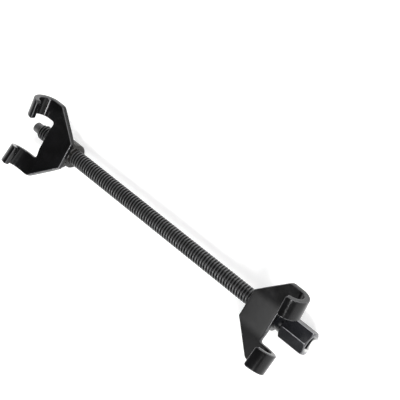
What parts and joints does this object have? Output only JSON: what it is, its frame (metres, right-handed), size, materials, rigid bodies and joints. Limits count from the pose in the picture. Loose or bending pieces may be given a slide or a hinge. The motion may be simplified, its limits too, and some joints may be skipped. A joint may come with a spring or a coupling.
{
  "type": "coil spring compressor",
  "caption": "Screw unit that squeezes a suspension coil spring: a long trapezoidal screw draws a threaded hook jaw towards a plain one.",
  "frame": {"origin": "on the screw axis, at the mouth of the square drive in the head", "axes": "+X runs along the screw towards the drive head, +Z is square to the jaw plates on the side of the hooks, +Y completes a right-handed frame"},
  "size_m": [0.37, 0.0816, 0.0594],
  "materials": {
    "jaw_paint": "satin black paint",
    "sleeve_paint": "satin black paint, thinner and browner at the welds",
    "screw_black": "black oxide, oiled",
    "head_black": "black oxide, satin, bluish",
    "washer_steel": "dark zinc"
  },
  "bodies": {
    "upper_jaw_assembly": {"upper_jaw": "jaw_paint", "upper_sleeve": "sleeve_paint", "upper_welds": "sleeve_paint"},
    "screw_assembly": {"lead_screw": "screw_black", "drive_head": "head_black", "head_pin": "washer_steel", "thrust_washer": "washer_steel"},
    "lower_jaw_assembly": {"lower_jaw": "jaw_paint", "lower_nut_sleeve": "sleeve_paint", "lower_welds": "sleeve_paint"}
  },
  "joints": [
    {"name": "screw_turn", "type": "hinge", "parent": "upper_jaw_assembly", "child": "screw_assembly", "pos_m": [0, 0, 0], "axis": [1, 0, 0], "range_deg": [-27200, 2260]},
    {"name": "lower_jaw_travel", "type": "slide", "parent": "upper_jaw_assembly", "child": "lower_jaw_assembly", "axis": [1, 0, 0], "range_m": [-0.02, 0.24]}
  ],
  "couplings": [
    {"joint": "lower_jaw_travel", "follows": "screw_turn", "m_per_rad": -0.00050532}
  ]
}
